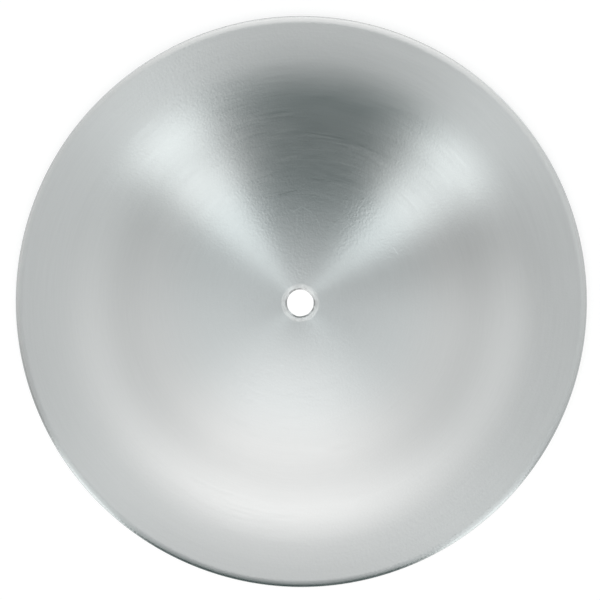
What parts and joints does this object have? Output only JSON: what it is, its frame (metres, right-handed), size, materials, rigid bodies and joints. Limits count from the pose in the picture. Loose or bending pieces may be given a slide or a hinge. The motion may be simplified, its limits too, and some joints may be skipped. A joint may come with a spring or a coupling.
{
  "type": "bell cymbal",
  "caption": "Thick brushed aluminium bell cymbal: one spun disc with a tall round-topped bell, a narrow flat flange whose edge turns up, and a centre hole for a stand's rod.",
  "frame": {"origin": "on the disc's axis, level with the flat underside of the rim, which the cymbal rests on", "axes": "+Z along the disc's axis towards the top of the bell; the disc is round, and +Y is the side that the picture shows at the top"},
  "size_m": [0.254, 0.254, 0.0393],
  "materials": {
    "brushed_aluminium": "bare metal with fine circular brush lines, satin, burnished around the hole"
  },
  "bodies": {
    "root": {"bell_disc": "brushed_aluminium"}
  },
  "joints": []
}
